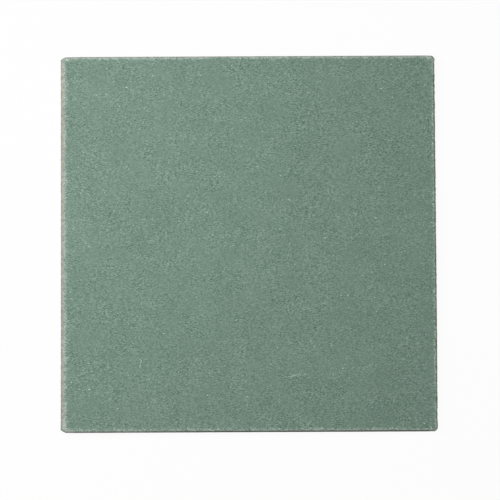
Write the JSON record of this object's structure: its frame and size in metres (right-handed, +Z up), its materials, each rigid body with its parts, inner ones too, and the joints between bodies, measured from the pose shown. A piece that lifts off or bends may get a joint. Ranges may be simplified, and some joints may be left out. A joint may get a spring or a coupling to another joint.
{
  "type": "drywall sheet",
  "caption": "Square cut piece of moisture-resistant drywall with a green paper face, rolled-over face arrises and knocked-off corners, for lining walls and ceilings.",
  "frame": {"origin": "middle of the back face, which the sheet lies on", "axes": "+X is the face's right, +Y its top edge as pictured, +Z up through the thickness, out of the green face"},
  "size_m": [0.3, 0.3, 0.0125],
  "materials": {
    "green_board": "matt sage-green fibrous liner on the face, scuffed pale at the arrises, with raw pale grey gypsum edges and a grey-tan back liner"
  },
  "bodies": {
    "root": {"drywall_sheet": "green_board"}
  },
  "joints": []
}
